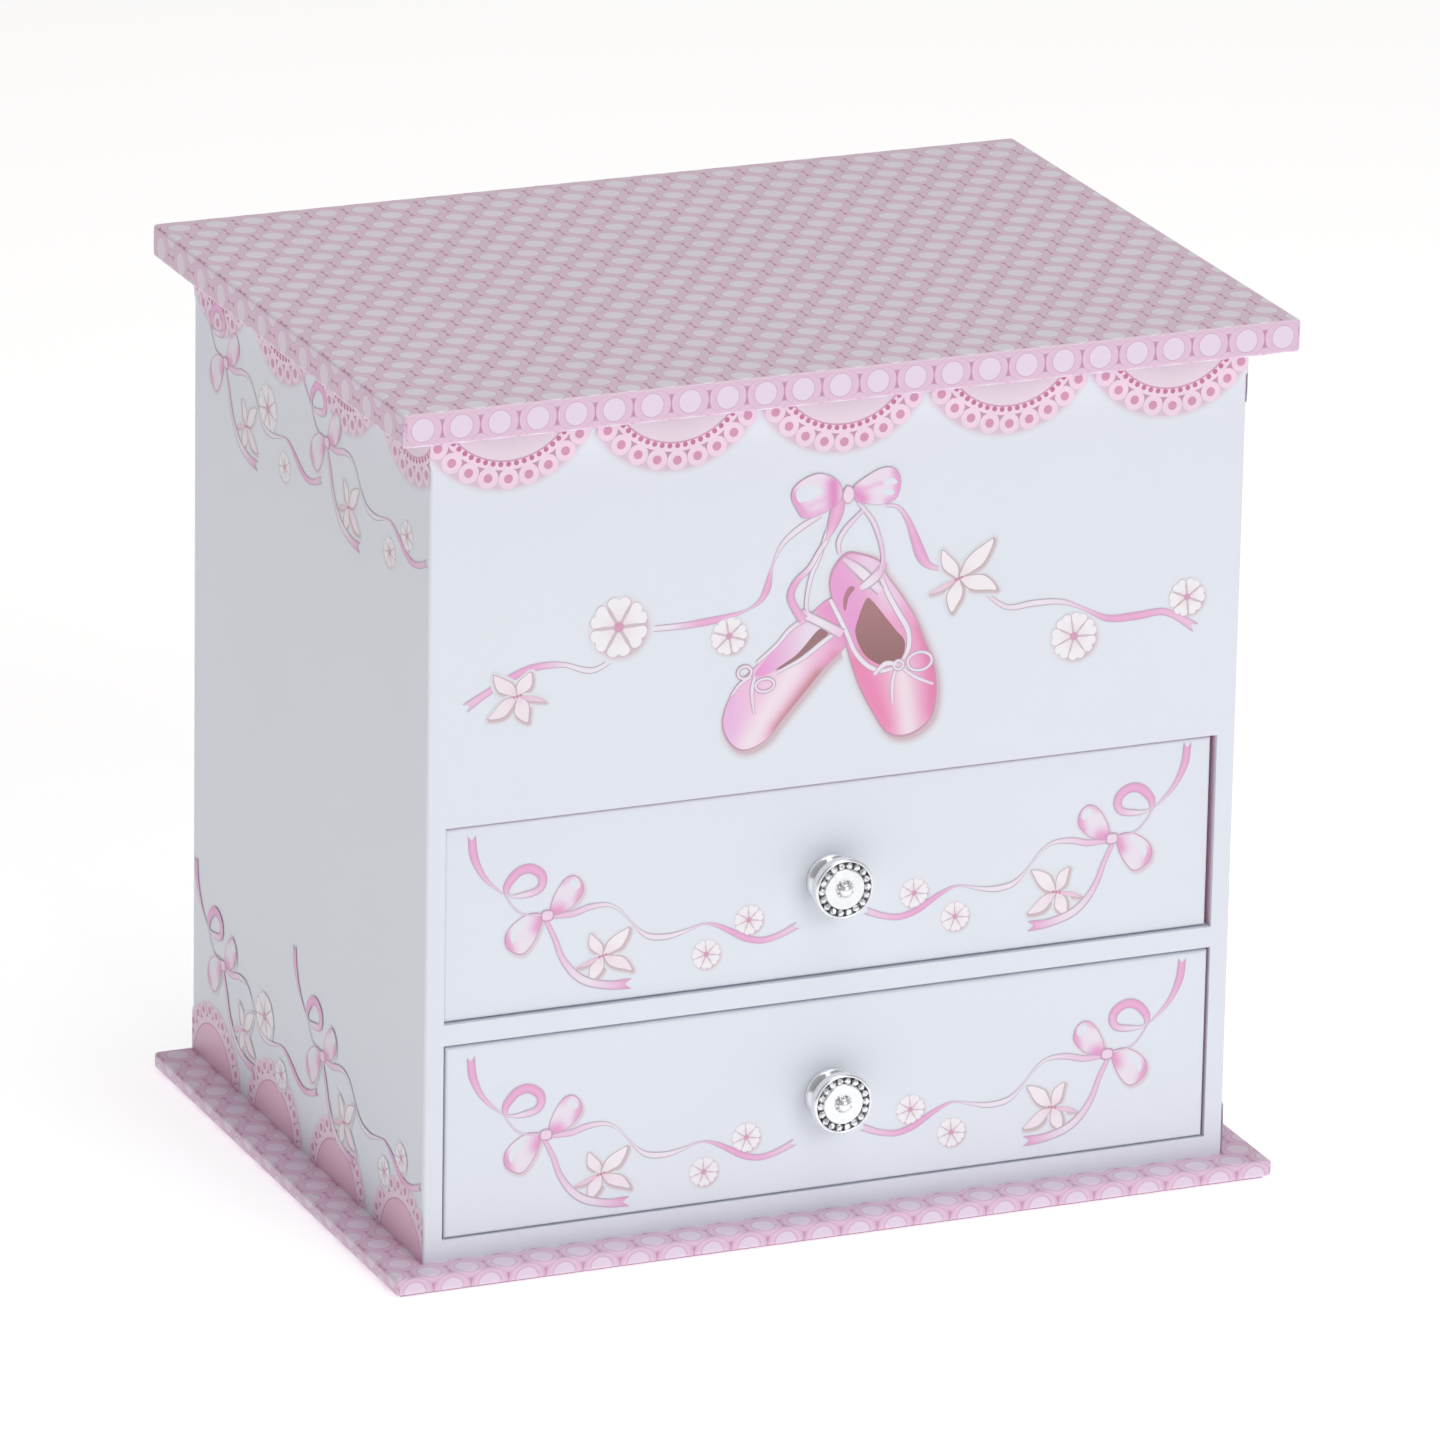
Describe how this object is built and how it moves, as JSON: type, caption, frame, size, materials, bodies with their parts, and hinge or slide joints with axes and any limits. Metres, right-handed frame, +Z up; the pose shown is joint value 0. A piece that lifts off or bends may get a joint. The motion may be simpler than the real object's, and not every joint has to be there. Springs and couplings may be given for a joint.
{
  "type": "jewellery box",
  "caption": "Musical jewellery box with a hinged mirrored lid, two drawers, a wind-up cylinder movement and a dancer that turns on a spring.",
  "frame": {"origin": "centre of the underside of the base", "axes": "+X to the viewer's right, +Y to the back, where the key and hinges are, +Z up; the drawers open towards -Y"},
  "size_m": [0.21, 0.1675, 0.2005],
  "materials": {
    "patterned_paper": "printed paper on fibreboard, satin",
    "white_paper": "printed paper on fibreboard, satin",
    "pink_card": "pink paper on fibreboard, matt",
    "base_felt": "thin felt",
    "satin_lining": "satin cloth over card",
    "velvet": "short-pile velvet",
    "mirror": "silvered glass",
    "hinge_brass": "bright plated",
    "silver_plate": "polished plate",
    "steel": "bright steel",
    "bare_wood": "bare softwood",
    "movement_brass": "machined",
    "fly_plastic": "moulded",
    "doll_plastic": "painted",
    "tulle": "stiffened net"
  },
  "bodies": {
    "case": {"base_felt": "base_felt", "base_plate": "patterned_paper", "left_wall": "white_paper", "right_wall": "white_paper", "back_wall": "white_paper", "front_panel": "white_paper", "compartment_floor": "pink_card", "drawer_shelf": "white_paper", "bottom_board": "white_paper", "hinge_wall_leaves": "hinge_brass", "hinge_pins": "hinge_brass", "hinge_wall_screws": "hinge_brass", "stage_top": "pink_card", "stage_front": "pink_card", "tray_lining": "satin_lining", "ring_rolls_left": "velvet", "ring_rolls_right": "velvet", "movement_block": "bare_wood", "movement_bedplate": "movement_brass", "movement_screws": "steel", "music_comb": "steel", "comb_screws": "steel", "governor_frame": "movement_brass"},
    "lid": {"lid_board": "patterned_paper", "lid_lining": "satin_lining", "lid_mirror": "mirror", "hinge_lid_leaves": "hinge_brass", "hinge_lid_screws": "hinge_brass"},
    "upper_drawer": {"upper_drawer_front": "white_paper", "upper_drawer_left_side": "pink_card", "upper_drawer_right_side": "pink_card", "upper_drawer_back": "pink_card", "upper_drawer_bottom": "pink_card", "upper_drawer_lining": "velvet", "upper_drawer_knob": "silver_plate", "upper_drawer_knob_screw": "steel"},
    "lower_drawer": {"lower_drawer_front": "white_paper", "lower_drawer_left_side": "pink_card", "lower_drawer_right_side": "pink_card", "lower_drawer_back": "pink_card", "lower_drawer_bottom": "pink_card", "lower_drawer_lining": "velvet", "lower_drawer_knob": "silver_plate", "lower_drawer_knob_screw": "steel"},
    "barrel": {"spring_barrel": "movement_brass", "mainspring": "steel"},
    "winding": {"winding_arbor": "steel", "winding_key": "silver_plate"},
    "cylinder": {"music_cylinder": "movement_brass", "cylinder_wheel": "movement_brass"},
    "step_up_wheel": {"governor_wheel": "movement_brass"},
    "fly": {"governor_fly": "fly_plastic"},
    "stop": {"stop_rod": "steel"},
    "turntable": {"turntable": "movement_brass"},
    "dancer_bend": {"ballerina_spring": "steel"},
    "dancer": {"spring_collar": "doll_plastic", "ballerina_figure": "doll_plastic", "ballerina_tutu": "tulle"}
  },
  "joints": [
    {"name": "lid_hinge", "type": "hinge", "parent": "case", "child": "lid", "pos_m": [0, 0.07615, 0.193], "axis": [-1, 0, 0], "range_deg": [0, 100]},
    {"name": "upper_drawer_slide", "type": "slide", "parent": "case", "child": "upper_drawer", "axis": [0, -1, 0], "range_m": [0, 0.11]},
    {"name": "lower_drawer_slide", "type": "slide", "parent": "case", "child": "lower_drawer", "axis": [0, -1, 0], "range_m": [0, 0.11]},
    {"name": "key_winding", "type": "hinge", "parent": "case", "child": "winding", "pos_m": [0, 0.05065, 0.1315], "axis": [0, -1, 0], "range_deg": [0, 1080]},
    {"name": "cylinder_spin", "type": "hinge", "parent": "case", "child": "cylinder", "pos_m": [0.024, 0.05065, 0.1315], "axis": [1, 0, 0], "continuous": true},
    {"name": "barrel_spin", "type": "hinge", "parent": "case", "child": "barrel", "pos_m": [0, 0.05065, 0.1315], "axis": [0, 1, 0], "continuous": true},
    {"name": "step_up_spin", "type": "hinge", "parent": "case", "child": "step_up_wheel", "pos_m": [0.041, 0.05065, 0.1224], "axis": [1, 0, 0], "continuous": true},
    {"name": "fly_spin", "type": "hinge", "parent": "case", "child": "fly", "pos_m": [0.041, 0.04155, 0.1224], "axis": [1, 0, 0], "continuous": true},
    {"name": "turntable_spin", "type": "hinge", "parent": "case", "child": "turntable", "pos_m": [0, 0.05065, 0.148], "axis": [0, 0, 1], "continuous": true},
    {"name": "dancer_fold", "type": "hinge", "parent": "case", "child": "dancer_bend", "pos_m": [0, 0.05065, 0.15701], "axis": [-1, 0, 0], "range_deg": [0, 60.5], "deforming": ["ballerina_spring"]},
    {"name": "dancer_spin", "type": "hinge", "parent": "dancer_bend", "child": "dancer", "pos_m": [0, 0.05065, 0.15701], "axis": [0, -0.866, 0.5], "continuous": true},
    {"name": "stop_rod_slide", "type": "slide", "parent": "case", "child": "stop", "axis": [0, 0, 1], "range_m": [0, 0.004]}
  ],
  "couplings": [
    {"joint": "barrel_spin", "follows": "cylinder_spin", "ratio": -0.25},
    {"joint": "step_up_spin", "follows": "cylinder_spin", "ratio": -4},
    {"joint": "fly_spin", "follows": "cylinder_spin", "ratio": 16},
    {"joint": "turntable_spin", "follows": "cylinder_spin", "ratio": 1},
    {"joint": "dancer_spin", "follows": "cylinder_spin", "ratio": 1},
    {"joint": "dancer_fold", "follows": "lid_hinge", "ratio": 0.6},
    {"joint": "stop_rod_slide", "follows": "lid_hinge", "m_per_rad": 0.0022}
  ]
}
